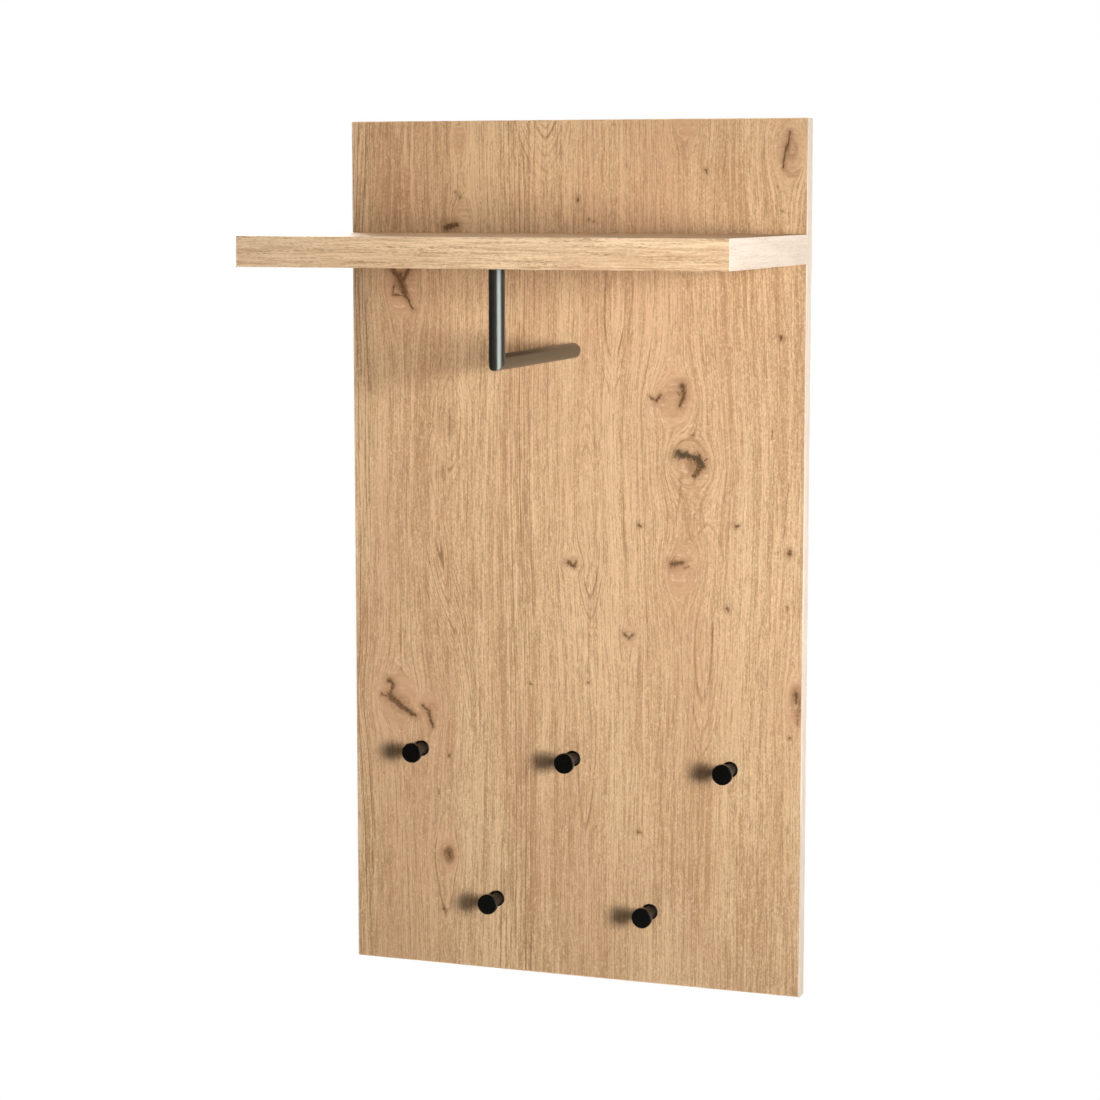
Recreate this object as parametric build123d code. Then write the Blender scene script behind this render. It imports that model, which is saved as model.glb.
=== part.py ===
# Wall hook rack: a tall oak-faced board with a shelf, a coat-hanger rail and five coat knobs.
# Millimetres; +Z is up, +X runs along the board, +Y goes into the wall. The origin is the centre
# of the tall board's back face, so the wall is the plane Y = 0 and the rack stands at -Y.

from build123d import *
import os

# tall board
panel_width = 600.0
panel_height = 1090.0
panel_thickness = 22.0
band_thickness = 1.0
band_round = 0.5

# shelf
shelf_depth = 340.0
shelf_thickness = 36.0
shelf_drop = 140.0  # from the top of the board to the top of the shelf

# coat-hanger rail
rail_diameter = 19.0
rail_wall = 1.5
rail_reach = 270.0  # from the board's face to the upright tube's axis
rail_drop = 286.0  # from the top of the board to the level tube's axis
plug_length = 20.0
push_gap = 0.05  # radial room of a part that is pushed or screwed into a hole
clearance_gap = 0.25  # radial room round a machine screw that passes through wood

# coat knobs
knob_length = 37.0
knob_head_diameter = 26.0
knob_head_thickness = 6.5
knob_waist_diameter = 13.0
knob_waist_from_board = 15.0
knob_base_diameter = 20.5
knob_base_thickness = 2.2
knob_base_round = 0.6
knob_base_shoulder = 1.6  # how far the neck starts inside the base's rim
knob_head_round = 1.0
knob_head_overhang = 3.4  # how far the head stands out past the neck
knob_pitch = 208.0  # across the board, between two knobs of one row
upper_row_drop = 806.0  # from the top of the board
lower_row_drop = 997.0
knob_thread_depth = 14.0
knob_neck_start = (-0.55, 1.0)  # the neck's directions, outwards and along, at the base and at the head
knob_neck_end = (0.75, 1.0)

# shelf joinery, along the shelf's back edge
connector_offsets = (-250.0, -90.0, 90.0, 250.0)
connector_diameter = 7.0
connector_length = 50.0
connector_head_diameter = 10.0
dowel_offsets = (-170.0, 0.0, 170.0)
dowel_diameter = 8.0
dowel_length = 40.0
dowel_in_panel = 12.0
dowel_chamfer = 0.8
hole_end_room = 1.0  # how much deeper than its dowel or screw a blind hole is

# keyhole hanger plates
hanger_spacing = 450.0
hanger_drop = 75.0  # from the top of the board to the keyhole's round hole
plate_width = 36.0
plate_height = 64.0
plate_thickness = 2.5
plate_corner = 6.0
keyhole_diameter = 11.0
keyhole_slot_width = 5.6
keyhole_slot_rise = 12.0
hanger_pocket_depth = 13.0
hanger_pocket_margin = 1.5  # room round the head of the wall screw
plate_screw_spacing = 50.0
plate_screw_diameter = 3.5
plate_screw_head = 7.0
plate_screw_length = 16.0
plate_screw_hole_gap = 0.5  # how much wider the plate's holes are than the screws

# machine screws
m6 = dict(shank=6.0, head=10.5, head_height=3.3, socket=4.0, socket_depth=2.0)
m4 = dict(shank=4.0, head=8.0, head_height=3.0, socket=2.5, socket_depth=1.6)
rail_top_screw_length = 45.0
rail_wall_screw_length = 35.0
knob_screw_length = 30.0
rail_washer = dict(outer=15.0, hole=6.4, thickness=1.6)
knob_washer = dict(outer=11.0, hole=4.3, thickness=1.0)
rail_counterbore = dict(diameter=16.0, top_depth=11.0, wall_depth=6.5)
knob_counterbore = dict(diameter=12.0, depth=5.5)
cap_thickness = 2.0
cap_chamfer = 0.3
cap_spigot = dict(length=2.5, gap=0.4, wall=1.4)
screw_head_round = 0.6  # of the head's height
screw_tip_chamfer = 0.5
wood_screw_tip = dict(length=0.6, radius=0.25)  # of the shank's diameter and of its radius
wood_screw_socket_depth = 0.7  # of the socket's width
connector_socket = 4.0
plate_screw_socket = 2.0

# places worked out from the sizes above
panel_top = panel_height / 2
panel_face = -panel_thickness
shelf_top = panel_top - shelf_drop
shelf_under = shelf_top - shelf_thickness
shelf_middle = (shelf_top + shelf_under) / 2
shelf_front = panel_face - shelf_depth
rail_axis_y = panel_face - rail_reach
rail_axis_z = panel_top - rail_drop
hanger_z = panel_top - hanger_drop
upper_row_z = panel_top - upper_row_drop
lower_row_z = panel_top - lower_row_drop
knob_places = {
    "knob_upper_left": (-knob_pitch, upper_row_z),
    "knob_upper_middle": (0.0, upper_row_z),
    "knob_upper_right": (knob_pitch, upper_row_z),
    "knob_lower_left": (-knob_pitch / 2, lower_row_z),
    "knob_lower_right": (knob_pitch / 2, lower_row_z),
}


def block(x_range, y_range, z_range):
    """A box between two values on each axis."""
    spans = [high - low for low, high in (x_range, y_range, z_range)]
    middles = [(low + high) / 2 for low, high in (x_range, y_range, z_range)]
    return Pos(*middles) * Box(*spans)


def rod_up(radius, x, y, bottom, top):
    """An upright cylinder."""
    return Pos(x, y, (bottom + top) / 2) * Cylinder(radius, top - bottom)


def rod_in(radius, x, z, front, back):
    """A cylinder that runs along Y, from front to back."""
    return Pos(x, (front + back) / 2, z) * Rot(90, 0, 0) * Cylinder(radius, back - front)


def from_behind(shape, x, y, z):
    """Turns a shape made along +Z so that it points out of the back, and puts it at a place."""
    return Pos(x, y, z) * Rot(-90, 0, 0) * shape


def soften(solid, axis, edge_filter):
    """Rounds the edges that run along one axis and pass the filter."""
    edges = [edge for edge in solid.edges().filter_by(axis) if edge_filter(edge.center())]
    return fillet(edges, band_round)


# fasteners, made along Z with the seat of the head at Z = 0 and the shank going down


def machine_screw(size, length):
    """A round-headed machine screw with a hexagon socket."""
    radius = size["head"] / 2
    head = Pos(0, 0, size["head_height"] / 2) * Cylinder(radius, size["head_height"])
    head = fillet(head.edges().group_by(Axis.Z)[-1], size["head_height"] * screw_head_round)
    shank = Pos(0, 0, -length / 2) * Cylinder(size["shank"] / 2 - push_gap, length)
    shank = chamfer(shank.edges().group_by(Axis.Z)[0], screw_tip_chamfer)
    socket = extrude(RegularPolygon(size["socket"] / 2, 6, major_radius=False), size["socket_depth"])
    return head + shank - Pos(0, 0, size["head_height"] - size["socket_depth"]) * socket


def washer(size):
    """A flat washer that lies on Z = 0."""
    ring = Circle(size["outer"] / 2) - Circle(size["hole"] / 2)
    return extrude(ring, size["thickness"])


def sunk_screw(shank_diameter, head_diameter, length, socket):
    """A countersunk screw whose head is flush at Z = 0."""
    radius = shank_diameter / 2 - push_gap
    head_radius = head_diameter / 2 - push_gap
    cone = head_radius - radius
    tip = shank_diameter * wood_screw_tip["length"]
    with BuildPart() as screw:
        with BuildSketch(Plane.XZ):
            with BuildLine():
                Polyline(
                    (0, 0),
                    (head_radius, 0),
                    (radius, -cone),
                    (radius, tip - length),
                    (radius * wood_screw_tip["radius"], -length),
                    (0, -length),
                    close=True,
                )
            make_face()
        revolve(axis=Axis.Z)
    socket_depth = socket * wood_screw_socket_depth
    hexagon = extrude(RegularPolygon(socket / 2, 6, major_radius=False), socket_depth)
    return screw.part - Pos(0, 0, -socket_depth) * hexagon


def sunk_hole(hole_diameter, head_diameter, depth):
    """The room for a countersunk screw, open at Z = 0."""
    radius = hole_diameter / 2
    cone = (head_diameter - hole_diameter) / 2
    hole = Pos(0, 0, -depth / 2) * Cylinder(radius, depth)
    return hole + Pos(0, 0, -cone / 2) * Cone(radius, head_diameter / 2, cone)


# tall board


def hanger_plate_outline():
    """The keyhole plate's outline with square ends rounded, drawn about its round hole."""
    return RectangleRounded(plate_width, plate_height, plate_corner)


def hanger_pocket():
    """The recess for one hanger plate and, deeper, the room for a wall screw's head."""
    recess = extrude(offset(hanger_plate_outline(), push_gap), -plate_thickness)
    bottom = Circle(keyhole_diameter / 2 + hanger_pocket_margin)
    top = Pos(0, keyhole_slot_rise, 0) * Circle(keyhole_diameter / 2 + hanger_pocket_margin)
    room = extrude(make_hull((bottom + top).edges()), -hanger_pocket_depth)
    return recess + room


def place_hanger(shape, side):
    """Moves a shape drawn in the hanger's own plane to one side of the board's back."""
    upright = Plane(origin=(side * hanger_spacing / 2, 0, hanger_z), x_dir=(-1, 0, 0), z_dir=(0, 1, 0))
    return upright * shape


def plate_screw_places():
    """Screw centres of one hanger plate, in its own plane."""
    return [(0, plate_screw_spacing / 2), (0, -plate_screw_spacing / 2)]


def panel_board():
    """The board's core with every hole that is drilled or milled in it."""
    inner_width = panel_width / 2 - band_thickness
    inner_height = panel_height / 2 - band_thickness
    board = block((-inner_width, inner_width), (panel_face, 0), (-inner_height, inner_height))
    cuts = []
    for x in connector_offsets:
        hole = sunk_hole(connector_diameter, connector_head_diameter, panel_thickness)
        cuts.append(from_behind(hole, x, 0, shelf_middle))
    for x in dowel_offsets:
        reach = dowel_in_panel + hole_end_room
        cuts.append(rod_in(dowel_diameter / 2, x, shelf_middle, panel_face, panel_face + reach))
    cuts.append(rod_in(m6["shank"] / 2 + clearance_gap, 0, rail_axis_z, panel_face, 0))
    seat = rail_counterbore["wall_depth"]
    cuts.append(rod_in(rail_counterbore["diameter"] / 2, 0, rail_axis_z, -seat, 0))
    for x, z in knob_places.values():
        cuts.append(rod_in(m4["shank"] / 2 + clearance_gap, x, z, panel_face, 0))
        cuts.append(rod_in(knob_counterbore["diameter"] / 2, x, z, -knob_counterbore["depth"], 0))
    for side in (-1, 1):
        cuts.append(place_hanger(hanger_pocket(), side))
        for x, y in plate_screw_places():
            pilot = Pos(x, y, -plate_screw_length / 2) * Cylinder(plate_screw_diameter / 2, plate_screw_length)
            cuts.append(place_hanger(pilot, side))
    return board - cuts


def panel_side_band(side):
    """An upright edge band, over the board's full height."""
    outer = side * panel_width / 2
    inner = outer - side * band_thickness
    band = block(sorted((inner, outer)), (panel_face, 0), (-panel_height / 2, panel_height / 2))
    return soften(band, Axis.Z, lambda point: abs(point.X) > panel_width / 2 - band_round)


def panel_end_band(end):
    """The level edge band at the top or the bottom of the board, between the side bands."""
    outer = end * panel_height / 2
    inner = outer - end * band_thickness
    half = panel_width / 2 - band_thickness
    band = block((-half, half), (panel_face, 0), sorted((inner, outer)))
    return soften(band, Axis.X, lambda point: abs(point.Z) > panel_height / 2 - band_round)


# shelf


def shelf_board():
    """The shelf's core, drilled for the rail's screw and for its own joinery."""
    half = panel_width / 2 - band_thickness
    board = block((-half, half), (shelf_front + band_thickness, panel_face), (shelf_under, shelf_top))
    cuts = [rod_up(m6["shank"] / 2 + clearance_gap, 0, rail_axis_y, shelf_under, shelf_top)]
    seat = shelf_top - rail_counterbore["top_depth"]
    cuts.append(rod_up(rail_counterbore["diameter"] / 2, 0, rail_axis_y, seat, shelf_top))
    reach = connector_length - panel_thickness + hole_end_room
    for x in connector_offsets:
        cuts.append(rod_in(connector_diameter / 2, x, shelf_middle, panel_face - reach, panel_face))
    reach = dowel_length - dowel_in_panel + hole_end_room
    for x in dowel_offsets:
        cuts.append(rod_in(dowel_diameter / 2, x, shelf_middle, panel_face - reach, panel_face))
    return board - cuts


def shelf_front_band():
    """The edge band along the shelf's front, over its full width."""
    half = panel_width / 2
    band = block((-half, half), (shelf_front, shelf_front + band_thickness), (shelf_under, shelf_top))
    return soften(band, Axis.X, lambda point: point.Y < shelf_front + band_round)


def shelf_side_band(side):
    """The edge band at one end of the shelf, behind the front band."""
    outer = side * panel_width / 2
    inner = outer - side * band_thickness
    y_range = (shelf_front + band_thickness, panel_face)
    band = block(sorted((inner, outer)), y_range, (shelf_under, shelf_top))
    return soften(band, Axis.Y, lambda point: abs(point.X) > panel_width / 2 - band_round)


def shelf_dowels():
    """Wooden dowels, half in the board and half in the shelf's back edge."""
    front = panel_face + dowel_in_panel - dowel_length
    dowels = []
    for x in dowel_offsets:
        dowel = rod_in(dowel_diameter / 2 - push_gap, x, shelf_middle, front, panel_face + dowel_in_panel)
        dowels.append(chamfer(dowel.edges().filter_by(GeomType.CIRCLE), dowel_chamfer))
    return Compound(children=dowels)


def shelf_connector_screws():
    """Long countersunk screws through the board into the shelf's back edge."""
    screw = sunk_screw(connector_diameter, connector_head_diameter, connector_length, connector_socket)
    return Compound(children=[from_behind(screw, x, 0, shelf_middle) for x in connector_offsets])


# coat-hanger rail


def mitre_plane():
    """The plane through the rail's corner that halves it; its normal points to the upright."""
    return Plane(origin=(0, rail_axis_y, rail_axis_z), x_dir=(1, 0, 0), z_dir=(0, -1, 1))


def rail_upright_tube():
    """From the shelf's underside down to the mitre."""
    bottom = rail_axis_z - rail_diameter
    tube = rod_up(rail_diameter / 2, 0, rail_axis_y, bottom, shelf_under)
    tube -= rod_up(rail_diameter / 2 - rail_wall, 0, rail_axis_y, bottom, shelf_under)
    return split(tube, bisect_by=mitre_plane(), keep=Keep.TOP)


def rail_level_tube():
    """From the mitre back to the face of the tall board."""
    front = rail_axis_y - rail_diameter
    tube = rod_in(rail_diameter / 2, 0, rail_axis_z, front, panel_face)
    tube -= rod_in(rail_diameter / 2 - rail_wall, 0, rail_axis_z, front, panel_face)
    return split(tube, bisect_by=mitre_plane(), keep=Keep.BOTTOM)


def rail_plug(make_rod, *place, low, high):
    """A steel plug with a threaded hole, pushed into one end of the rail."""
    plug = make_rod(rail_diameter / 2 - rail_wall - push_gap, *place, low, high)
    return plug - make_rod(m6["shank"] / 2, *place, low, high)


def rail_top_plug():
    return rail_plug(rod_up, 0, rail_axis_y, low=shelf_under - plug_length, high=shelf_under)


def rail_wall_plug():
    return rail_plug(rod_in, 0, rail_axis_z, low=panel_face - plug_length, high=panel_face)


def rail_top_fastener():
    """The washer and the screw in the shelf's counterbore, and the cover cap over them."""
    seat = shelf_top - rail_counterbore["top_depth"]
    ring = Pos(0, rail_axis_y, seat) * washer(rail_washer)
    screw = machine_screw(m6, rail_top_screw_length)
    screw = Pos(0, rail_axis_y, seat + rail_washer["thickness"]) * screw
    return ring, screw


def rail_cover_cap():
    """A flush disc with a hollow spigot that grips the counterbore."""
    radius = rail_counterbore["diameter"] / 2 - push_gap
    disc = rod_up(radius, 0, rail_axis_y, shelf_top - cap_thickness, shelf_top)
    disc = chamfer(disc.edges().group_by(Axis.Z)[-1], cap_chamfer)
    disc_under = shelf_top - cap_thickness
    spigot_under = disc_under - cap_spigot["length"]
    spigot_radius = radius - cap_spigot["gap"]
    spigot = rod_up(spigot_radius, 0, rail_axis_y, spigot_under, disc_under)
    spigot -= rod_up(spigot_radius - cap_spigot["wall"], 0, rail_axis_y, spigot_under, disc_under)
    return disc + spigot


def rail_wall_fastener():
    """The washer and the screw in the back of the tall board."""
    seat = -rail_counterbore["wall_depth"]
    ring = from_behind(washer(rail_washer), 0, seat, rail_axis_z)
    screw = machine_screw(m6, rail_wall_screw_length)
    return ring, from_behind(screw, 0, seat + rail_washer["thickness"], rail_axis_z)


# coat knobs


def rims_of_radius(solid, radius):
    """The round edges of one radius."""
    rims = solid.edges().filter_by(GeomType.CIRCLE)
    return rims.filter_by(lambda rim: abs(rim.radius - radius) < push_gap)


def knob(x, z):
    """A turned spool: a thin base on the board, a waisted neck and a wider flat head."""
    base = knob_base_diameter / 2
    waist = knob_waist_diameter / 2
    head = knob_head_diameter / 2
    head_back = knob_length - knob_head_thickness
    above_board = (knob_base_thickness / 2, head_back)
    neck_at_base = base - knob_base_shoulder
    neck_at_head = head - knob_head_overhang
    with BuildPart() as spool:
        with BuildSketch(Plane.XZ):
            with BuildLine():
                Line((0, 0), (base, 0))
                Line((base, 0), (base, knob_base_thickness))
                Line((base, knob_base_thickness), (neck_at_base, knob_base_thickness))
                Spline(
                    (neck_at_base, knob_base_thickness),
                    (waist, knob_waist_from_board),
                    (neck_at_head, head_back),
                    tangents=(knob_neck_start, knob_neck_end),
                )
                Line((neck_at_head, head_back), (head, head_back))
                Line((head, head_back), (head, knob_length))
                Line((head, knob_length), (0, knob_length))
                Line((0, knob_length), (0, 0))
            make_face()
        revolve(axis=Axis.Z)
        fillet(rims_of_radius(spool, head), knob_head_round)
        fillet(rims_of_radius(spool, base).filter_by_position(Axis.Z, *above_board), knob_base_round)
    body = spool.part - Pos(0, 0, knob_thread_depth / 2) * Cylinder(m4["shank"] / 2, knob_thread_depth)
    return Pos(x, panel_face, z) * Rot(90, 0, 0) * body


def knob_fasteners():
    """A washer and a machine screw behind every knob."""
    seat = -knob_counterbore["depth"]
    rings = []
    screws = []
    for x, z in knob_places.values():
        rings.append(from_behind(washer(knob_washer), x, seat, z))
        screw = machine_screw(m4, knob_screw_length)
        screws.append(from_behind(screw, x, seat + knob_washer["thickness"], z))
    return Compound(children=rings), Compound(children=screws)


# hanger plates


def hanger_plate(side):
    """A steel plate with a keyhole, let in flush with the back of the board."""
    opening = Circle(keyhole_diameter / 2)
    slot_end = Pos(0, keyhole_slot_rise, 0) * Circle(keyhole_slot_width / 2)
    slot = Pos(0, keyhole_slot_rise / 2, 0) * Rectangle(keyhole_slot_width, keyhole_slot_rise)
    plate = extrude(hanger_plate_outline() - (opening + slot_end + slot), -plate_thickness)
    for x, y in plate_screw_places():
        hole = sunk_hole(plate_screw_diameter + plate_screw_hole_gap, plate_screw_head, plate_thickness)
        plate -= Pos(x, y, 0) * hole
    return place_hanger(plate, side)


def hanger_plate_screws():
    """Countersunk wood screws that hold the two plates."""
    head = plate_screw_head - plate_screw_hole_gap
    screw = sunk_screw(plate_screw_diameter, head, plate_screw_length, plate_screw_socket)
    screws = []
    for side in (-1, 1):
        for x, y in plate_screw_places():
            screws.append(place_hanger(Pos(x, y, 0) * screw, side))
    return Compound(children=screws)


def all_parts():
    """Every piece of the rack by its name."""
    top_washer, top_screw = rail_top_fastener()
    wall_washer, wall_screw = rail_wall_fastener()
    knob_washers, knob_screws = knob_fasteners()
    parts = {
        "panel_board": panel_board(),
        "panel_edge_left": panel_side_band(-1),
        "panel_edge_right": panel_side_band(1),
        "panel_edge_top": panel_end_band(1),
        "panel_edge_bottom": panel_end_band(-1),
        "shelf_board": shelf_board(),
        "shelf_edge_front": shelf_front_band(),
        "shelf_edge_left": shelf_side_band(-1),
        "shelf_edge_right": shelf_side_band(1),
        "shelf_dowels": shelf_dowels(),
        "shelf_connector_screws": shelf_connector_screws(),
        "rail_upright_tube": rail_upright_tube(),
        "rail_level_tube": rail_level_tube(),
        "rail_top_plug": rail_top_plug(),
        "rail_wall_plug": rail_wall_plug(),
        "rail_top_washer": top_washer,
        "rail_top_screw": top_screw,
        "rail_cover_cap": rail_cover_cap(),
        "rail_wall_washer": wall_washer,
        "rail_wall_screw": wall_screw,
        "knob_washers": knob_washers,
        "knob_screws": knob_screws,
        "hanger_plate_left": hanger_plate(-1),
        "hanger_plate_right": hanger_plate(1),
        "hanger_plate_screws": hanger_plate_screws(),
    }
    for name, (x, z) in knob_places.items():
        parts[name] = knob(x, z)
    return parts


os.makedirs("parts", exist_ok=True)
for name, shape in all_parts().items():
    export_step(shape, f"parts/{name}.step")
    print(name, round(shape.volume))
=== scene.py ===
import bpy
import bmesh
import math
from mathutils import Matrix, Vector


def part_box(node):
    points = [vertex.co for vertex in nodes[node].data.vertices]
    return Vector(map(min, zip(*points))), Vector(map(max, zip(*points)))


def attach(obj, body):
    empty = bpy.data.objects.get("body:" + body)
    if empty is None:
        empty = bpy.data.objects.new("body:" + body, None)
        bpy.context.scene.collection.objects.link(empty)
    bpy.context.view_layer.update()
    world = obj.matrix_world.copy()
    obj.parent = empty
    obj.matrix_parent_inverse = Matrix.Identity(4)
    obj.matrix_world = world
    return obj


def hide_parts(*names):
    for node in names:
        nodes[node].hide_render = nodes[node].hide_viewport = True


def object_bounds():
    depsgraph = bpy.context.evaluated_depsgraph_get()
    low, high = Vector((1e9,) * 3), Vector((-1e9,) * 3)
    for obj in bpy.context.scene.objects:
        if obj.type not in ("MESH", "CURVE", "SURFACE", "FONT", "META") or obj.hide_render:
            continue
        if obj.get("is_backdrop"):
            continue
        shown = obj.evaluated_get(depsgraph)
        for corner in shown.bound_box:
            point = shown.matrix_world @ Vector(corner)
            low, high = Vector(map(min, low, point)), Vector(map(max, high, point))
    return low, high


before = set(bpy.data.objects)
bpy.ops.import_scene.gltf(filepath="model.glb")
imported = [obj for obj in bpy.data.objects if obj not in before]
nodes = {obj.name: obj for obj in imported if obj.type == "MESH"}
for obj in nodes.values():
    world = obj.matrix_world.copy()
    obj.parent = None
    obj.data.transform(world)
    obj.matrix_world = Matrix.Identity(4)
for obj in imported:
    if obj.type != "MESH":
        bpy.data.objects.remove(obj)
cadLow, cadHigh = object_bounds()
print("frame loaded:", len(nodes), "CAD nodes")


class Wire:
    # an output socket; arithmetic on it adds Math nodes to its tree
    def __init__(self, sheet, socket):
        self.sheet = sheet
        self.socket = socket

    def math(self, operation, *others):
        return self.sheet.node("ShaderNodeMath", dict(operation=operation), [self, *others])

    def reflected(self, operation, first):
        return self.sheet.node("ShaderNodeMath", dict(operation=operation), [first, self])

    def __add__(self, other):
        return self.math("ADD", other)

    def __radd__(self, other):
        return self.math("ADD", other)

    def __sub__(self, other):
        return self.math("SUBTRACT", other)

    def __rsub__(self, other):
        return self.reflected("SUBTRACT", other)

    def __mul__(self, other):
        return self.math("MULTIPLY", other)

    def __rmul__(self, other):
        return self.math("MULTIPLY", other)

    def __truediv__(self, other):
        return self.math("DIVIDE", other)

    def __rtruediv__(self, other):
        return self.reflected("DIVIDE", other)

    def __pow__(self, other):
        return self.math("POWER", other)

    def __neg__(self):
        return self.math("MULTIPLY", -1.0)

    def __gt__(self, other):
        return self.math("GREATER_THAN", other)

    def __lt__(self, other):
        return self.math("LESS_THAN", other)

    def __abs__(self):
        return self.math("ABSOLUTE")

    def low(self, other):  # the lower of the two
        return self.math("MINIMUM", other)

    def high(self, other):  # the higher of the two
        return self.math("MAXIMUM", other)

    def root(self):
        return self.math("SQRT")

    def whole(self):
        return self.math("FLOOR")

    def part(self):
        return self.math("FRACT")

    def ramp(self, start, end):  # 0 at start, 1 at end, smooth between; start may be the larger
        return self.sheet.node("ShaderNodeMapRange", dict(interpolation_type="SMOOTHSTEP"),
                               {"Value": self, "From Min": start, "From Max": end})


class Sheet:
    # a node tree of any kind and the nodes drawn on it
    def __init__(self, tree):
        self.tree = tree
        tree.nodes.clear()

    def node(self, kind, settings=None, values=(), out=0):
        # settings first, then values or wires into the sockets; out may be None to get every output
        made = self.tree.nodes.new(kind)
        for key, value in (settings or {}).items():
            setattr(made, key, value)
        pairs = values.items() if isinstance(values, dict) else enumerate(values)
        for key, value in pairs:
            if isinstance(value, Wire):
                self.tree.links.new(value.socket, made.inputs[key])
            else:
                made.inputs[key].default_value = value
        if out is None:
            return [Wire(self, output) for output in made.outputs]
        return Wire(self, made.outputs[out]) if made.outputs else None

    def axes(self, vector=None):  # x, y and z of a vector, or of the place on the object
        return self.node("ShaderNodeSeparateXYZ", {}, [vector or self.place], out=None)

    def point(self, x, y, z):
        return self.node("ShaderNodeCombineXYZ", {}, [x, y, z])

    def noise(self, vector, detail=2.0, roughness=0.5, scale=1.0):
        return self.node("ShaderNodeTexNoise", {},
                         {"Vector": vector, "Scale": scale, "Detail": detail, "Roughness": roughness})

    def blend(self, factor, first, second):  # 0, 6, 7 and 2 are the colour sockets of a Mix node
        return self.node("ShaderNodeMix", dict(data_type="RGBA"), {0: factor, 6: first, 7: second}, out=2)

    def bump(self, height, strength, distance):
        return self.node("ShaderNodeBump", {}, {"Height": height, "Strength": strength, "Distance": distance})

    def shader(self, **values):
        names = dict(color="Base Color", roughness="Roughness", metallic="Metallic", normal="Normal",
                     specular="Specular IOR Level")
        named = {names[key]: value for key, value in values.items()}
        shader = self.node("ShaderNodeBsdfPrincipled", {}, named)
        self.node("ShaderNodeOutputMaterial", {}, [shader])


def newMaterial(name):
    material = bpy.data.materials.new(name)
    material.use_nodes = True
    sheet = Sheet(material.node_tree)
    sheet.place = sheet.node("ShaderNodeTexCoord", out="Object")
    return material, sheet


def rgb(red, green, blue):  # a colour as a painter reads it (0 to 255), made linear for the shader
    def linear(value):
        value /= 255
        return value / 12.92 if value <= 0.04045 else ((value + 0.055) / 1.055) ** 2.4
    return (linear(red), linear(green), linear(blue), 1.0)


camera = dict(azimuth=19.72, elevation=7.133, distance=3.6274, lens=93.66, aim=(-0.0312, -0.022, 0.0058))

# each lamp: where it stands, what it points at, width and height, how far its light spreads
lights = dict(
    key=dict(at=(2.90, -2.45, 0.33), aim=(-0.03, -0.02, 0.03), size=(1.0, 1.1), spread=48, power=16.6,
             tint=(0.985, 1.0, 0.98), inReflections=False),
    sheen=dict(at=(2.45, -2.30, 0.20), aim=(0.0, -0.05, 0.0), size=(3.0, 2.6), spread=170, power=115,
               tint=(0.90, 0.98, 1.0), onlyInReflections=True),
    top=dict(at=(0.0, 0.55, 2.40), aim=(0.0, -0.20, 0.40), size=(1.2, 1.0), spread=120, power=9,
             tint=(1.0, 0.97, 0.92), inReflections=False),
    left=dict(at=(-2.80, 0.60, 0.50), aim=(0.0, 0.0, 0.0), size=(1.6, 1.6), spread=120, power=36,
              tint=(1.0, 0.96, 0.88), inReflections=False),
    back=dict(at=(-1.20, 3.20, 1.20), aim=(0.0, 0.0, 0.0), size=(2.0, 2.0), spread=120, power=62,
              tint=(1.0, 1.0, 1.0)),
)

# what the studio round the rack looks like (tint and strength), how far below the rack the floor is,
# how far it reaches and its paint
surroundings = dict(seen=((1, 1, 1), 1.0), fill=((1.0, 0.88, 0.68), 0.050), inReflections=((1, 1, 1), 0.015),
                    floorDrop=1.05, floorReach=30, floorPaint=(0.8, 0.8, 0.8, 1))


def direction(azimuth, elevation):
    a, e = math.radians(azimuth), math.radians(elevation)
    return Vector((math.sin(a) * math.cos(e), -math.cos(a) * math.cos(e), math.sin(e)))


def makeCamera():
    data = bpy.data.cameras.new("camera")
    data.lens = camera["lens"]
    eye = bpy.data.objects.new("camera", data)
    away = direction(camera["azimuth"], camera["elevation"])
    eye.location = Vector(camera["aim"]) + away * camera["distance"]
    eye.rotation_euler = (math.radians(90 - camera["elevation"]), 0, math.radians(camera["azimuth"]))
    bpy.context.scene.collection.objects.link(eye)
    bpy.context.scene.camera = eye


def makeLight(name, facts):
    data = bpy.data.lights.new(name, "AREA")
    data.shape = "RECTANGLE"
    data.size, data.size_y = facts["size"]
    data.energy = facts["power"]
    data.color = facts["tint"]
    data.spread = math.radians(facts["spread"])
    lamp = bpy.data.objects.new(name, data)
    lamp.location = facts["at"]
    lamp.rotation_euler = (lamp.location - Vector(facts["aim"])).to_track_quat("Z", "Y").to_euler()
    lamp.visible_diffuse = not facts.get("onlyInReflections", False)
    lamp.visible_glossy = facts.get("inReflections", True)
    lamp.visible_camera = False
    bpy.context.scene.collection.objects.link(lamp)


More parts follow.
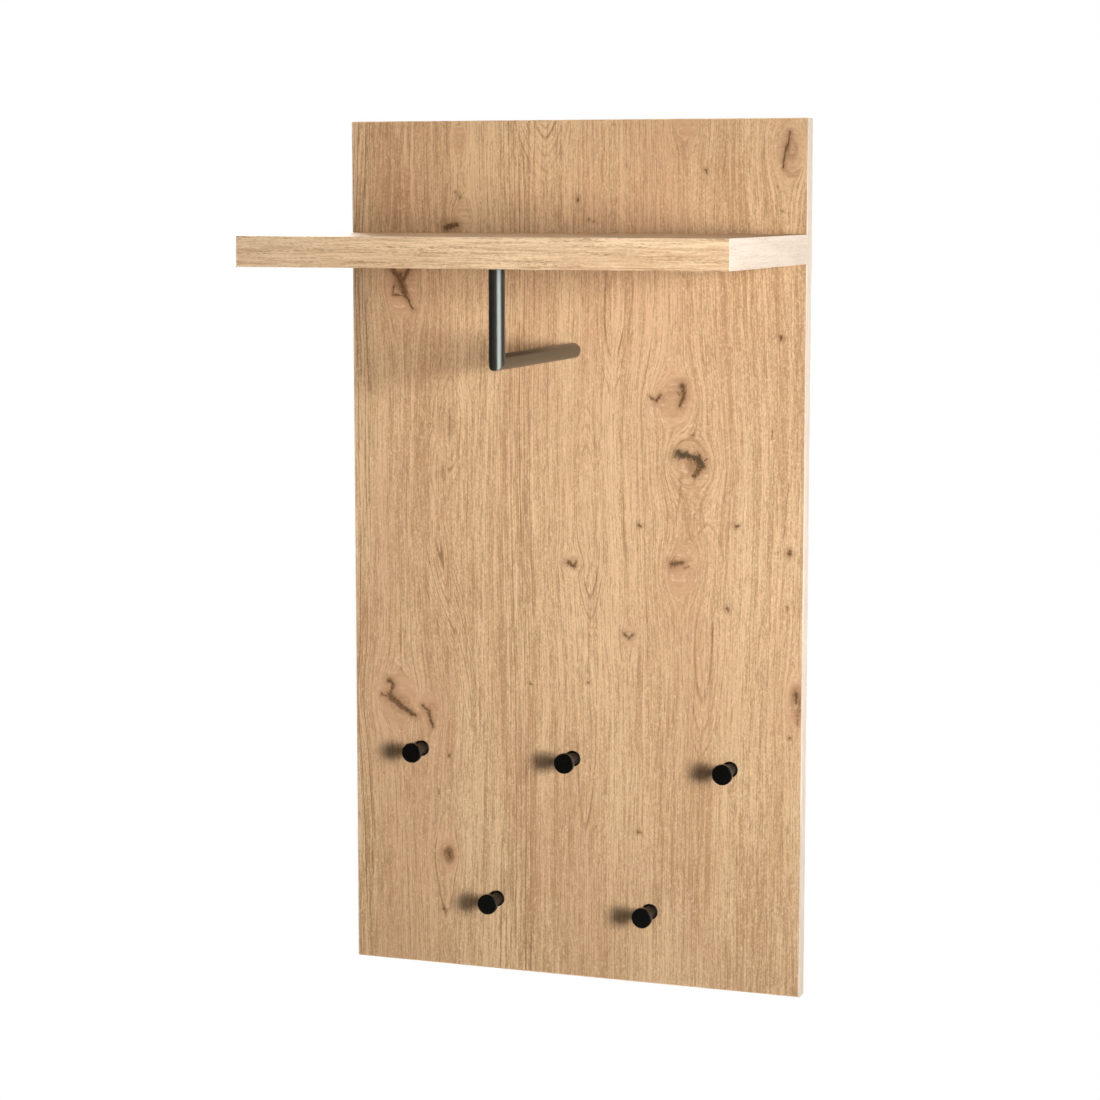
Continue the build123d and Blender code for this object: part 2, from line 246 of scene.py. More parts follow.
def makeSurroundings():
    # the studio is white to the eye, softer as fill light and dim in reflections
    world = bpy.data.worlds.new("studio")
    world.use_nodes = True
    bpy.context.scene.world = world
    sheet = Sheet(world.node_tree)
    shades = []
    for use in ("fill", "inReflections", "seen"):
        tint, strength = surroundings[use]
        shades.append(sheet.node("ShaderNodeBackground", {}, {"Color": (*tint, 1), "Strength": strength}))
    glossy = sheet.node("ShaderNodeLightPath", out="Is Glossy Ray")
    direct = sheet.node("ShaderNodeLightPath", out="Is Camera Ray")
    unseen = sheet.node("ShaderNodeMixShader", {}, [glossy, shades[0], shades[1]])
    both = sheet.node("ShaderNodeMixShader", {}, [direct, unseen, shades[2]])
    sheet.node("ShaderNodeOutputWorld", {}, [both])

    mesh = bpy.data.meshes.new("floor")
    floorHeight = cadLow.z - surroundings["floorDrop"]
    reach = surroundings["floorReach"]
    outline = ((-reach, -reach), (reach, -reach), (reach, reach), (-reach, reach))
    mesh.from_pydata([(x, y, floorHeight) for x, y in outline], [], [(0, 1, 2, 3)])
    floor = bpy.data.objects.new("floor", mesh)
    bpy.context.scene.collection.objects.link(floor)
    material, sheet = newMaterial("pale floor")
    paint = sheet.node("ShaderNodeBsdfDiffuse", {}, {"Color": surroundings["floorPaint"]})
    glow = sheet.node("ShaderNodeEmission", {}, {"Color": (1, 1, 1, 1), "Strength": surroundings["seen"][1]})
    seenDirectly = sheet.node("ShaderNodeLightPath", out="Is Camera Ray")
    both = sheet.node("ShaderNodeMixShader", {}, [seenDirectly, paint, glow])
    sheet.node("ShaderNodeOutputMaterial", {}, [both])
    mesh.materials.append(material)
    floor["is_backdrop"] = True


scene = bpy.context.scene
scene.view_settings.view_transform = "Standard"
makeCamera()
for name, facts in lights.items():
    makeLight(name, facts)
makeSurroundings()
print("camera, lights and floor made")


oakColors = dict(
    pale=rgb(233, 198, 156), deep=rgb(188, 147, 107), line=rgb(142, 100, 64), heart=rgb(88, 60, 38),
    fleck=rgb(246, 219, 184), rose=rgb(206, 160, 124), bark=rgb(136, 98, 65), moss=rgb(70, 62, 42),
)

# every length in metres: across is sideways on the board, along is up the board (or along the shelf)
panelOak = dict(
    oakColors,
    # each plank: left edge, where its pith lies and how deep, how it tapers, ring width, how dark its
    # tone, how strong its lines, how rosy it is
    planks=[
        dict(edge=-0.3, pith=-0.62, depth=0.05, taper=0.006, ring=0.0048, tone=0.05, lines=1.5, rose=0.05),
        dict(edge=-0.268, pith=-0.13, depth=0.03, taper=-0.02, ring=0.006, tone=0.05, lines=0.45, rose=0.45),
        dict(edge=-0.16, pith=-0.3, depth=0.03, taper=-0.03, ring=0.0052, tone=-0.02, lines=0.6, rose=0.15),
        dict(edge=-0.098, pith=0.22, depth=0.03, taper=-0.008, ring=0.0066, tone=0.06, lines=1.15, rose=0.05),
        dict(edge=-0.05, pith=0.22, depth=0.03, taper=-0.008, ring=0.0066, tone=-0.03, lines=0.5, rose=0.2),
        dict(edge=0.07, pith=-0.11, depth=0.03, taper=-0.02, ring=0.0056, tone=0.05, lines=0.5, rose=0.4),
        dict(edge=0.205, pith=-0.35, depth=0.05, taper=0.014, ring=0.0042, tone=0.09, lines=0.45, rose=0.1),
    ],
    # each arched figure: its middle, half width, half height, how far it lifts the rings and its lean
    arches=[
        dict(across=-0.036, along=0.625, width=0.060, height=0.180, rise=0.046),
        dict(across=-0.165, along=0.170, width=0.034, height=0.110, rise=0.024),
        dict(across=-0.172, along=-0.030, width=0.034, height=0.240, rise=0.040, lean=-0.15),
        dict(across=0.024, along=0.045, width=0.030, height=0.165, rise=0.030),
        dict(across=0.018, along=-0.230, width=0.016, height=0.135, rise=0.009),
        dict(across=0.166, along=-0.095, width=0.038, height=0.175, rise=0.026),
        dict(across=0.060, along=0.330, width=0.030, height=0.140, rise=0.016),
        dict(across=-0.171, along=-0.400, width=0.022, height=0.110, rise=0.012),
    ],
    # each knot: place, half width, how much longer than wide, how rosy it is, how brown its core is
    knots=[
        dict(across=0.276, along=0.506, radius=0.019, stretch=1.9, rose=0.6, core=0.40),
        dict(across=0.146, along=0.538, radius=0.013, stretch=1.1, rose=0.3),
        dict(across=-0.149, along=0.424, radius=0.012, stretch=1.3, rose=0.3),
        dict(across=-0.153, along=0.522, radius=0.007, stretch=2.6, rose=0.9),
        dict(across=-0.232, along=0.340, radius=0.018, stretch=2.2, rose=0.6),
        dict(across=-0.235, along=0.344, radius=0.010, stretch=1.7, rose=0.3, core=0.70),
        dict(across=0.132, along=0.200, radius=0.022, stretch=1.3, rose=0.6, core=0.20),
        dict(across=0.156, along=0.120, radius=0.022, stretch=1.3, rose=0.3),
        dict(across=0.155, along=0.120, radius=0.011, stretch=1.1, rose=0.2, core=0.65),
        dict(across=0.150, along=0.001, radius=0.013, stretch=1.3, rose=0.2),
        dict(across=0.143, along=-0.020, radius=0.014, stretch=1.5, rose=0.8),
        dict(across=0.000, along=-0.010, radius=0.009, stretch=1.3, rose=0.3),
        dict(across=0.074, along=-0.098, radius=0.007, stretch=1.6, rose=0.6),
        dict(across=-0.240, along=-0.195, radius=0.022, stretch=1.4, rose=0.7),
        dict(across=-0.199, along=-0.212, radius=0.013, stretch=1.7, rose=0.8),
        dict(across=-0.171, along=-0.400, radius=0.0095, stretch=1.7, rose=0.9, core=0.95),
        dict(across=0.293, along=-0.172, radius=0.011, stretch=2.6, rose=0.9, core=0.35),
    ],
    # each dark mark: from, to, half width, darkness from 0 to 1, and how green its edge is (a pin knot
    # starts and ends in one place)
    marks=[
        dict(start=(0.277, 0.528), end=(0.274, 0.507), width=0.0010, dark=0.9),
        dict(start=(0.273, 0.512), end=(0.269, 0.485), width=0.0013, dark=0.9),
        dict(start=(-0.169, 0.412), end=(-0.156, 0.415), width=0.0034, dark=1.0),
        dict(start=(-0.246, 0.361), end=(-0.235, 0.344), width=0.0036, dark=0.85),
        dict(start=(-0.222, 0.362), end=(-0.230, 0.344), width=0.0036, dark=0.80),
        dict(start=(-0.236, 0.350), end=(-0.227, 0.324), width=0.0044, dark=0.80),
        dict(start=(-0.227, 0.324), end=(-0.217, 0.309), width=0.0018, dark=0.85),
        dict(start=(-0.243, 0.337), end=(-0.244, 0.326), width=0.0012, dark=0.65),
        dict(start=(-0.244, 0.326), end=(-0.228, 0.324), width=0.0014, dark=0.70),
        dict(start=(0.143, 0.217), end=(0.145, 0.205), width=0.0034, dark=0.85),
        dict(start=(0.145, 0.205), end=(0.139, 0.192), width=0.0026, dark=0.80),
        dict(start=(0.148, 0.212), end=(0.143, 0.196), width=0.0011, dark=0.75),
        dict(start=(0.137, 0.210), end=(0.141, 0.206), width=0.0010, dark=0.60),
        dict(start=(0.101, 0.203), end=(0.107, 0.198), width=0.0016, dark=0.75),
        dict(start=(0.108, 0.198), end=(0.115, 0.206), width=0.0020, dark=0.80),
        dict(start=(0.139, 0.133), end=(0.149, 0.132), width=0.0042, dark=0.85, moss=0.8),
        dict(start=(0.149, 0.132), end=(0.163, 0.128), width=0.0034, dark=0.85, moss=0.7),
        dict(start=(0.163, 0.128), end=(0.169, 0.119), width=0.0046, dark=0.90, moss=0.7),
        dict(start=(0.168, 0.119), end=(0.159, 0.106), width=0.0042, dark=0.80, moss=0.3),
        dict(start=(0.170, 0.124), end=(0.175, 0.128), width=0.0010, dark=0.80),
        dict(start=(0.150, 0.128), end=(0.160, 0.119), width=0.0012, dark=0.50),
        dict(start=(0.142, 0.104), end=(0.140, 0.076), width=0.0026, dark=0.34),
        dict(start=(0.139, 0.074), end=(0.135, 0.050), width=0.0020, dark=0.26),
        dict(start=(0.131, -0.005), end=(0.144, -0.003), width=0.0030, dark=0.85),
        dict(start=(0.148, -0.009), end=(0.152, -0.008), width=0.0011, dark=0.60),
        dict(start=(-0.006, -0.009), end=(0.001, -0.014), width=0.0026, dark=0.80),
        dict(start=(0.001, -0.014), end=(0.004, -0.007), width=0.0020, dark=0.70),
        dict(start=(0.069, -0.097), end=(0.075, -0.101), width=0.0024, dark=0.65),
        dict(start=(0.075, -0.101), end=(0.080, -0.097), width=0.0024, dark=0.60),
        dict(start=(-0.253, -0.175), end=(-0.248, -0.179), width=0.0030, dark=0.75),
        dict(start=(-0.248, -0.179), end=(-0.252, -0.192), width=0.0030, dark=0.70),
        dict(start=(-0.264, -0.193), end=(-0.256, -0.196), width=0.0022, dark=0.60),
        dict(start=(-0.252, -0.194), end=(-0.235, -0.208), width=0.0036, dark=0.90),
        dict(start=(-0.235, -0.208), end=(-0.217, -0.219), width=0.0026, dark=0.95),
        dict(start=(-0.253, -0.199), end=(-0.236, -0.211), width=0.0013, dark=0.75),
        dict(start=(-0.207, -0.205), end=(-0.196, -0.214), width=0.0014, dark=0.75),
        dict(start=(-0.198, -0.213), end=(-0.193, -0.232), width=0.0023, dark=0.80),
        dict(start=(-0.172, -0.396), end=(-0.168, -0.403), width=0.0040, dark=0.70),
        dict(start=(0.292, -0.160), end=(0.292, -0.172), width=0.0026, dark=0.75),
        dict(start=(0.296, -0.168), end=(0.294, -0.200), width=0.0030, dark=0.45),
        dict(start=(0.282, 0.014), end=(0.282, 0.018), width=0.0021, dark=0.90),
        dict(start=(0.267, 0.015), end=(0.267, 0.015), width=0.0012, dark=0.60),
        dict(start=(0.213, 0.045), end=(0.216, 0.046), width=0.0020, dark=0.75),
        dict(start=(0.087, 0.042), end=(0.090, 0.041), width=0.0018, dark=0.75),
        dict(start=(0.157, 0.157), end=(0.157, 0.157), width=0.0016, dark=0.65),
        dict(start=(0.258, 0.166), end=(0.258, 0.155), width=0.0010, dark=0.55),
        dict(start=(0.280, 0.100), end=(0.274, 0.033), width=0.0006, dark=0.45),
        dict(start=(0.203, -0.058), end=(0.204, -0.062), width=0.0022, dark=0.70),
        dict(start=(0.279, -0.053), end=(0.279, -0.056), width=0.0014, dark=0.55),
        dict(start=(0.020, -0.162), end=(0.021, -0.163), width=0.0015, dark=0.60),
        dict(start=(0.030, -0.348), end=(0.030, -0.348), width=0.0014, dark=0.65),
        dict(start=(0.088, -0.350), end=(0.091, -0.351), width=0.0018, dark=0.65),
        dict(start=(0.285, -0.216), end=(0.285, -0.216), width=0.0018, dark=0.80),
        dict(start=(-0.058, -0.167), end=(-0.056, -0.168), width=0.0015, dark=0.55),
        dict(start=(-0.170, -0.268), end=(-0.170, -0.270), width=0.0015, dark=0.75),
        dict(start=(-0.185, -0.315), end=(-0.185, -0.320), width=0.0013, dark=0.50),
        dict(start=(-0.178, -0.472), end=(-0.178, -0.472), width=0.0022, dark=0.75),
        dict(start=(-0.158, 0.456), end=(-0.158, 0.456), width=0.0012, dark=0.75),
        dict(start=(-0.153, 0.449), end=(-0.153, 0.449), width=0.0013, dark=0.75),
        dict(start=(-0.125, 0.442), end=(-0.125, 0.442), width=0.0012, dark=0.50),
        dict(start=(0.006, 0.447), end=(0.006, 0.445), width=0.0016, dark=0.80),
        dict(start=(0.020, 0.422), end=(0.020, 0.422), width=0.0016, dark=0.75),
        dict(start=(0.027, 0.420), end=(0.027, 0.420), width=0.0013, dark=0.65),
        dict(start=(0.171, 0.482), end=(0.172, 0.479), width=0.0014, dark=0.75),
        dict(start=(0.269, 0.433), end=(0.269, 0.433), width=0.0016, dark=0.70),
        dict(start=(0.268, 0.280), end=(0.268, 0.277), width=0.0020, dark=0.80),
        dict(start=(0.134, 0.296), end=(0.134, 0.296), width=0.0013, dark=0.55),
    ],
)

shelfOak = dict(
    oakColors,
    planks=[
        dict(edge=-0.4, pith=-0.55, depth=0.05, taper=0.012, ring=0.0044, tone=0.02, lines=0.8, rose=0.05),
        dict(edge=-0.29, pith=-0.245, depth=0.02, taper=-0.06, ring=0.0056, tone=-0.03, lines=0.5, rose=0.35),
        dict(edge=-0.16, pith=0.25, depth=0.06, taper=-0.014, ring=0.0046, tone=0.03, lines=0.6, rose=0.15),
    ],
    arches=[
        dict(across=-0.235, along=0.020, width=0.040, height=0.220, rise=0.028),
        dict(across=-0.130, along=0.250, width=0.030, height=0.160, rise=0.018),
    ],
    knots=[
        dict(across=-0.235, along=0.150, radius=0.016, stretch=1.6, rose=0.6),
        dict(across=-0.110, along=-0.190, radius=0.010, stretch=1.5, rose=0.8),
        dict(across=-0.270, along=-0.060, radius=0.009, stretch=1.8, rose=0.5),
    ],
    marks=[
        dict(start=(-0.240, 0.136), end=(-0.232, 0.152), width=0.0020, dark=0.85),
        dict(start=(-0.232, 0.152), end=(-0.233, 0.168), width=0.0011, dark=0.90),
        dict(start=(-0.112, -0.193), end=(-0.108, -0.187), width=0.0026, dark=0.70),
        dict(start=(-0.270, -0.062), end=(-0.271, -0.054), width=0.0018, dark=0.60),
        dict(start=(-0.070, 0.060), end=(-0.070, 0.062), width=0.0016, dark=0.80),
        dict(start=(-0.190, -0.240), end=(-0.190, -0.240), width=0.0015, dark=0.70),
        dict(start=(-0.300, 0.220), end=(-0.300, 0.221), width=0.0017, dark=0.75),
    ],
)


def grainFlow(across, along, knots):
    # grain runs straight and parts round each knot like water round a stone, and inside the knot it
    # goes round and round; gives the place across the grain, and how near, how rosy and how brown the
    # knots are
    flow = across
    near = 0.0
    rosy = 0.0
    brown = 0.0
    for knot in knots:
        dx = across - knot["across"]
        dz = (along - knot["along"]) / knot["stretch"]
        apart = dx * dx + dz * dz
        size = knot["radius"] ** 2
        closeness = size / apart.high(size)
        within = (1 - apart / size).high(0.0)
        flow = flow - dx * closeness * 0.90 + within * knot["radius"] * 0.28
        near = closeness.high(near)
        rosy = (closeness * closeness * knot["rose"]).high(rosy)
        if "core" in knot:
            brown = (within.ramp(0.0, 0.9) * knot["core"]).high(brown)
    return flow, near, rosy, brown


def darkMarks(sheet, across, along, marks):
    # splits, bark and pin knots: the distance to a short line, worked out for each one; gives the
    # mark itself, the browner wood close round it and how green it is
    here = sheet.point(across, along, 0.0)
    dark = 0.0
    around = 0.0
    green = 0.0
    for mark in marks:
        width = mark["width"]
        start, end = Vector((*mark["start"], 0)), Vector((*mark["end"], 0))
        line = end - start
        gap = sheet.node("ShaderNodeVectorMath", dict(operation="SUBTRACT"), [here, tuple(start)])
        if line.length > 0:
            share = sheet.node("ShaderNodeVectorMath", dict(operation="DOT_PRODUCT"),
                               [gap, tuple(line / line.length_squared)], out="Value").high(0.0).low(1.0)
            foot = sheet.node("ShaderNodeVectorMath", dict(operation="SCALE"),
                              {0: tuple(line), "Scale": share})
            gap = sheet.node("ShaderNodeVectorMath", dict(operation="SUBTRACT"), [gap, foot])
            width = width * (1.6 - share * 0.7)
        length = sheet.node("ShaderNodeVectorMath", dict(operation="LENGTH"), [gap], out="Value")
        dark = ((1.45 - length / width) * mark["dark"]).high(dark)
        around = (mark["dark"] - length / (width * 2.8 + 0.003)).high(around)
        if "moss" in mark:
            green = ((1.45 - length / width) * mark["moss"]).high(green)
    return dark.low(1.0), around, green


def arched(across, along, slope, arches):
    # levels the rings in a long oval and heaps them up again round its middle, so that they end in
    # the arches and points of flat-sawn wood; gives the change to the rings and where the ovals are
    change = 0.0
    figure = 0.0
    for arch in arches:
        aside = across - arch["across"] - (along - arch["along"]) * arch.get("lean", 0.0)
        wide = (abs(aside) / arch["width"]) ** 1.5
        tall = (along - arch["along"]) / arch["height"]
        mound = (1 - wide - tall * tall).high(0.0)
        change = change + mound * arch["rise"] - aside * slope * mound.ramp(0.0, 0.22)
        figure = (mound * tall.ramp(0.35, -0.30)).high(figure)  # clearest where the ovals run to a point
    return change, figure.ramp(0.0, 0.3)


def steps(across, planks, key):
    # a value that changes at each plank's edge
    value = planks[0][key]
    for before, plank in zip(planks, planks[1:]):
        if plank[key] != before[key]:
            value = (across > plank["edge"]) * (plank[key] - before[key]) + value
    return value


def oakPattern(sheet, across, along, depth, oak):
    # returns the colour, the roughness and the height of figured oak
    planks = oak["planks"]
    sway = sheet.noise(sheet.point(across * 3.0, depth, along * 1.6), detail=3) - 0.5
    ripple = sheet.noise(sheet.point(across * 40, depth, along * 14), detail=2) - 0.5
    ragged = sheet.noise(sheet.point(across * 420, depth, along * 300), detail=2) - 0.5
    torn = sheet.noise(sheet.point(across * 160, depth + 2, along * 110), detail=3) - 0.5
    bentAcross = across + ripple * 0.0022 + torn * 0.0008
    flow, near, rosy, brown = grainFlow(bentAcross, along + ripple * 0.010, oak["knots"])
    flow = flow + sway * 0.016 + torn * (0.0003 + near * 0.0014)
    tear = torn * 0.0044 + ragged * 0.0009
    marked, around, green = darkMarks(sheet, across + tear, along + tear, oak["marks"])

    # yearly rings of a tapering, uneven log, cut flat, plank by plank
    side = flow - steps(flow, planks, "pith")
    swell = sheet.noise(sheet.point(flow * 9, depth, along * 2.6), detail=2) - 0.5
    deep = steps(flow, planks, "depth") + swell * 0.040
    log = (side * side + deep * deep).root()
    bent = along + swell * 0.05
    change, figure = arched(flow, bent, side / log, oak["arches"])
    rings = (log + steps(flow, planks, "taper") * along + change) / steps(flow, planks, "ring")
    strength = steps(flow, planks, "lines").high(figure * 1.1)
    ringPart = rings.part()
    ringOwn = sheet.node("ShaderNodeTexWhiteNoise", dict(noise_dimensions="1D"), {"W": rings.whole()})
    lateWood = ringPart.ramp(0.62, 0.90) * ringPart.ramp(1.0, 0.95)
    lateWood = lateWood + ringPart.ramp(0.22, 0.40) * ringPart.ramp(0.46, 0.41) * 0.45
    breaks = sheet.noise(sheet.point(flow * 160, depth, along * 9), detail=3).ramp(0.28, 0.56)
    ringLine = (lateWood * (0.25 + 0.75 * ringOwn) * breaks * strength).low(1.1)
    ringLine = ringLine * (1 - near.ramp(0.5, 1.0) * 0.55)

    # fibres, pores and flecks, from broad streaks to single threads
    band = sheet.noise(sheet.point(flow * 46, depth, along * 1.6), detail=3, roughness=0.6) - 0.5
    strand = sheet.noise(sheet.point(flow * 250, depth, along * 6), detail=4, roughness=0.7) - 0.5
    fibre = sheet.noise(sheet.point(flow * 760, depth, along * 30), detail=2, roughness=0.6) - 0.5
    speck = sheet.noise(sheet.point(flow * 560, depth + 4, along * 300), detail=2, roughness=0.7) - 0.5
    pores = sheet.noise(sheet.point(flow * 620 + 9, depth, along * 62), detail=1).ramp(0.58, 0.74)
    fleck = sheet.noise(sheet.point(flow * 430 + 7, depth, along * 190), detail=1).ramp(0.60, 0.78)
    cloud = sheet.noise(sheet.point(flow * 11, depth, along * 2.2), detail=2) - 0.5
    blush = sheet.noise(sheet.point(flow * 15 + 3, depth, along * 3.0), detail=2).ramp(0.44, 0.72)
    calm = 1 - near.ramp(0.4, 1.0) * 0.6
    threads = (strand * 2.7 + fibre * 1.5) * calm * (0.7 + steps(flow, planks, "lines") * 0.6)

    tone = 0.36 + cloud * 0.9 + steps(flow, planks, "tone") + band * 1.1 + threads + speck * 2.2
    color = sheet.blend(tone.high(0.0).low(1.0), oak["pale"], oak["deep"])
    rose = (blush * 0.30 + steps(flow, planks, "rose") * 0.45 + rosy * 0.6).low(0.8)
    color = sheet.blend(rose, color, oak["rose"])
    darkLine = (ringLine * 0.80 + pores * 0.34 * calm + fibre.ramp(0.05, 0.22) * 0.20).low(1.0)
    color = sheet.blend(darkLine, color, oak["line"])
    color = sheet.blend(fleck * 0.40, color, oak["fleck"])

    # dark marks: brown bark first, then the near black of an open split
    patchy = sheet.noise(sheet.point(across * 520, depth, along * 420), detail=3, roughness=0.7) - 0.5
    stain = marked + patchy * 1.5
    color = sheet.blend(brown * (0.75 + patchy + strand), color, oak["bark"])
    color = sheet.blend((around * (1.0 + patchy * 2)).high(0.0).low(1.0) * 0.70, color, oak["line"])
    color = sheet.blend(stain.ramp(0.15, 0.85) * 0.80, color, oak["bark"])
    color = sheet.blend(stain.ramp(0.60, 1.20) * 0.85, color, oak["heart"])
    color = sheet.blend((green + patchy * 2).ramp(0.20, 0.90) * 0.75, color, oak["moss"])
    height = 1 - pores * 0.4 - ringLine * 0.4 + strand * 0.5 - stain.ramp(0.3, 1.0) * 0.9
    roughness = 0.54 + fibre * 0.3 + stain.ramp(0.3, 1.0) * 0.12
    return color, roughness, height


chips = dict(scale=620, pale=rgb(204, 176, 132), brown=rgb(150, 118, 78))


def spangle(sheet, scale):
    # small cells, each with a value of its own
    cells = sheet.node("ShaderNodeTexVoronoi", {}, {"Vector": sheet.place, "Scale": scale}, out="Color")
    return sheet.axes(cells)[0]


def chipboard(sheet):
    # the pressed-chip core, seen only where the boards are drilled or milled
    return sheet.blend(spangle(sheet, chips["scale"]), chips["pale"], chips["brown"])


# the finish of the faces: skin is how deep the oak goes before the core shows, far is where on the same
# tree the far face was cut (its shift across, its shift along and its depth)
boardFinish = dict(skin=0.0004, coreRoughness=0.3, bump=0.35, bumpDepth=0.0006, specular=0.35,
                   farAcross=0.047, farAlong=0.31, farDepth=3.1, depth=0.4)


def oakBoard(name, oak, acrossAxis, alongAxis, faces):
    # faces are the thin axis, the low face and the high face; between them is the board's inside
    material, sheet = newMaterial(name)
    axes = sheet.axes()
    thin, low, high = faces
    other = (axes[thin] > (low + high) / 2)  # the far face shows another stretch of the same tree
    across = axes[acrossAxis] + other * boardFinish["farAcross"]
    along = axes[alongAxis] * (1 - other * 2) + other * boardFinish["farAlong"]
    depth = other * boardFinish["farDepth"] + boardFinish["depth"]
    color, roughness, height = oakPattern(sheet, across, along, depth, oak)
    inside = (axes[thin] > low + boardFinish["skin"]) * (axes[thin] < high - boardFinish["skin"])
    color = sheet.blend(inside, color, chipboard(sheet))
    roughness = (roughness + inside * boardFinish["coreRoughness"]).low(1.0)
    normal = sheet.bump(height, boardFinish["bump"], boardFinish["bumpDepth"])
    sheet.shader(color=color, roughness=roughness, normal=normal, specular=boardFinish["specular"])
    return material


# painted light: the bands on the ends and sides get a paler, less yellow colour than those seen from the
# front, standing in for the strong light from the right that washes out the lit ends; the left ends get the
# same colour
frontBand = dict(pale=rgb(250, 216, 177), deep=rgb(204, 162, 122), line=rgb(156, 110, 72),
                 fleck=rgb(253, 231, 200), dashes=0.55)
# painted light: these paler colours stand in for the strong side light on the end and side bands
paintedLightBand = dict(pale=rgb(240, 223, 209), deep=rgb(222, 202, 184), line=rgb(186, 154, 128),
                fleck=rgb(247, 233, 220), dashes=0.35)
tape = dict(roughness=0.54, bump=0.3, bumpDepth=0.0004, specular=0.35)


def oakBand(name, alongAxis, band):
    # narrow edge tape: fine streaks along it, with short dark pores in broken rows
    material, sheet = newMaterial(name)
    axes = sheet.axes()
    along = axes[alongAxis]
    first, second = [axis for number, axis in enumerate(axes) if number != alongAxis]
    bend = sheet.noise(sheet.point(first * 20, second * 20, along * 7), detail=2) - 0.5
    first, second = first + bend * 0.005, second + bend * 0.005
    streak = sheet.noise(sheet.point(first * 120, second * 120, along * 5), detail=3, roughness=0.6) - 0.5
    strand = sheet.noise(sheet.point(first * 520, second * 520, along * 22), detail=3, roughness=0.65) - 0.5
    speck = sheet.noise(sheet.point(first * 620, second * 620, along * 240), detail=2) - 0.5
    rows = sheet.noise(sheet.point(first * 210, second * 210, along * 9), detail=2).ramp(0.46, 0.62)
    pores = sheet.noise(sheet.point(first * 760, second * 760, along * 150), detail=2).ramp(0.50, 0.62) * rows
    fleck = sheet.noise(sheet.point(first * 480 + 5, second * 480, along * 90), detail=1).ramp(0.60, 0.74)
    tone = 0.36 + streak * 1.9 + strand * 2.1 + speck * 1.0
    color = sheet.blend(tone.high(0.0).low(1.0), band["pale"], band["deep"])
    color = sheet.blend(pores * band["dashes"], color, band["line"])
    color = sheet.blend(fleck * 0.35, color, band["fleck"])
    normal = sheet.bump(strand - pores, tape["bump"], tape["bumpDepth"])
    sheet.shader(color=color, roughness=tape["roughness"] + strand * 0.3, normal=normal,
                 specular=tape["specular"])
    return material


# coatings on the rail and on the knobs; sheen is how much paler the cloudy patches are
railCoat = dict(body=(0.130, 0.130, 0.118), sheen=1.35, metallic=0.85, roughness=0.33, specular=0.5)
knobCoat = dict(body=(0.0008, 0.0009, 0.0007), sheen=1.35, metallic=0.0, roughness=0.27, specular=0.45)
zincPlate = dict(bright=(0.66, 0.67, 0.66, 1), dull=(0.48, 0.49, 0.50, 1), metallic=0.55, roughness=0.34,
                 spangle=260, cloud=120)
beechWood = dict(pale=rgb(222, 184, 140), deep=rgb(186, 142, 98), acrossGrain=700, alongGrain=60,
                 roughness=0.65)


def satinMetal(name, coat):
    # fine coating: slight orange peel, and a little uneven sheen
    material, sheet = newMaterial(name)
    peel = sheet.noise(sheet.place, detail=2, scale=900)
    cloud = sheet.noise(sheet.place, detail=3, scale=60)
    body = Vector(coat["body"])
    color = sheet.blend(cloud * 0.5, (*body, 1), (*(body * coat["sheen"]), 1))
    sheet.shader(color=color, metallic=coat["metallic"], roughness=coat["roughness"] + (cloud - 0.5) * 0.05,
                 normal=sheet.bump(peel, 0.05, 0.0001), specular=coat["specular"])
    return material


def zincMetal(name):
    # bright zinc plate with a faint cloudy spangle
    material, sheet = newMaterial(name)
    cloud = sheet.noise(sheet.place, detail=3, scale=zincPlate["cloud"])
    share = spangle(sheet, zincPlate["spangle"]) * 0.5 + cloud * 0.4
    color = sheet.blend(share, zincPlate["bright"], zincPlate["dull"])
    sheet.shader(color=color, metallic=zincPlate["metallic"], roughness=zincPlate["roughness"] + cloud * 0.2,
                 normal=sheet.bump(cloud, 0.12, 0.0003))
    return material


def beech(name):
    # straight-grained, with the grain along the dowels
    material, sheet = newMaterial(name)
    x, y, z = sheet.axes()
    fine, long = beechWood["acrossGrain"], beechWood["alongGrain"]
    strand = sheet.noise(sheet.point(x * fine, y * long, z * fine), detail=2)
    color = sheet.blend(strand, beechWood["pale"], beechWood["deep"])
    sheet.shader(color=color, roughness=beechWood["roughness"], normal=sheet.bump(strand, 0.2, 0.0003))
    return material


def dress(node, material):
    target = nodes[node].data
    target.materials.clear()
    target.materials.append(material)


panelLow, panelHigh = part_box("panel_board")
shelfLow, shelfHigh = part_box("shelf_board")
panelMaterial = oakBoard("oak board, upright grain", panelOak, 0, 2, (1, panelLow.y, panelHigh.y))
shelfMaterial = oakBoard("oak shelf, level grain", shelfOak, 1, 0, (2, shelfLow.z, shelfHigh.z))
frontBandMaterial = oakBand("oak band, front", 0, frontBand)
# the end and side bands below carry the painted light of the paler band colours
endBandMaterial = oakBand("oak band with painted light, ends", 1, paintedLightBand)
sideBandMaterial = oakBand("oak band with painted light, sides", 2, paintedLightBand)
zinc = zincMetal("zinc plate")
anthracite = satinMetal("satin anthracite", railCoat)
black = satinMetal("satin black", knobCoat)

dress("panel_board", panelMaterial)
dress("shelf_board", shelfMaterial)
for node in ("shelf_edge_front", "panel_edge_top", "panel_edge_bottom"):
    dress(node, frontBandMaterial)
# the shelf ends and panel sides get the band colours with painted light
for node in ("shelf_edge_left", "shelf_edge_right"):
    dress(node, endBandMaterial)
for node in ("panel_edge_left", "panel_edge_right"):
    dress(node, sideBandMaterial)
dress("rail_cover_cap", shelfMaterial)
dress("shelf_dowels", beech("beech"))
for node in nodes:
    if any(word in node for word in ("screw", "washer", "plug", "plate")):
        dress(node, zinc)
    elif node.startswith("rail_") and "cap" not in node:
        dress(node, anthracite)
    elif node.startswith("knob_"):
        dress(node, black)
print("finishes made")

# the rail: two tubes of one size, cut at 45 degrees and joined in a fine groove
rail = dict(wall=0.0015, grooveDepth=0.00025, grooveHalfWidth=0.00040, segments=96, crease=30)


